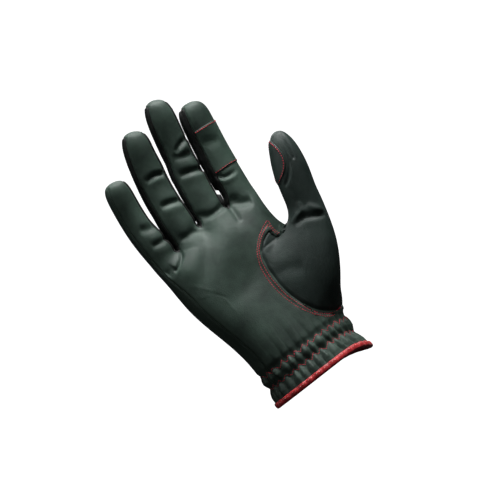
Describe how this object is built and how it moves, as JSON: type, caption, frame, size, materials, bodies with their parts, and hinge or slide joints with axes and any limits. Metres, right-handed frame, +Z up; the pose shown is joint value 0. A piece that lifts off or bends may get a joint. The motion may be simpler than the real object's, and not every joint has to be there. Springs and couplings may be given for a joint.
{
  "type": "drummer glove",
  "caption": "Right-hand drummer's glove in thin dark leather with red stitching, held in the shape of a hand: gathered bound wrist, sewn-in thumb, grip patches on index and thumb.",
  "frame": {"origin": "middle of the wrist opening, level with the binding's lower edge", "axes": "+Z up from the wrist through the palm to the fingers, -Y the way the palm faces, +X towards the thumb"},
  "size_m": [0.1319, 0.0611, 0.2207],
  "materials": {
    "palm_panel": "smooth satin, dark green grey",
    "back_panel": "smooth satin, dark green grey",
    "fourchette_little_ring": "matte, near black",
    "fourchette_ring_middle": "matte, near black",
    "fourchette_middle_index": "matte, near black",
    "thumb_panel": "smooth satin, black green",
    "index_grip_patch": "smooth satin, dark green grey",
    "thumb_pad_patch": "smooth satin, black green",
    "wrist_binding": "matte woven tape, red"
  },
  "bodies": {
    "root": {"palm_panel": "palm_panel", "back_panel": "back_panel", "fourchette_little_ring": "fourchette_little_ring", "fourchette_ring_middle": "fourchette_ring_middle", "fourchette_middle_index": "fourchette_middle_index", "thumb_panel": "thumb_panel", "index_grip_patch": "index_grip_patch", "thumb_pad_patch": "thumb_pad_patch", "wrist_binding": "wrist_binding"}
  },
  "joints": []
}
